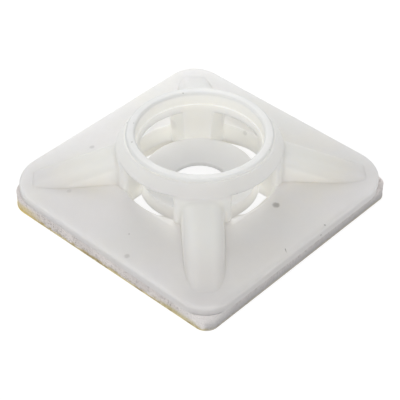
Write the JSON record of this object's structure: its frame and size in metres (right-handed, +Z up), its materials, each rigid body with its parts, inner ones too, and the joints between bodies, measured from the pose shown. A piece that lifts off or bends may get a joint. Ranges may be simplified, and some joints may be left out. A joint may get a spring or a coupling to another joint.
{
  "type": "cable tie mount",
  "caption": "Square self-adhesive mount with a raised ring on four legs, slotted both ways for a cable tie, and a central screw hole.",
  "frame": {"origin": "on the underside of the release liner, on the axis of the ring, below the middle of the base", "axes": "+Z up along the ring's axis, away from the adhesive face; X and Y along the sides of the base, which are the two ways a tie passes"},
  "size_m": [0.02, 0.02, 0.0058],
  "materials": {
    "nylon": "natural milky nylon, satin, slightly translucent",
    "foam": "grey closed-cell foam tape, cut edge with fine cells",
    "liner": "yellowish waxed paper release liner"
  },
  "bodies": {
    "root": {"moulded_body": "nylon", "foam_pad": "foam", "release_liner": "liner"}
  },
  "joints": []
}
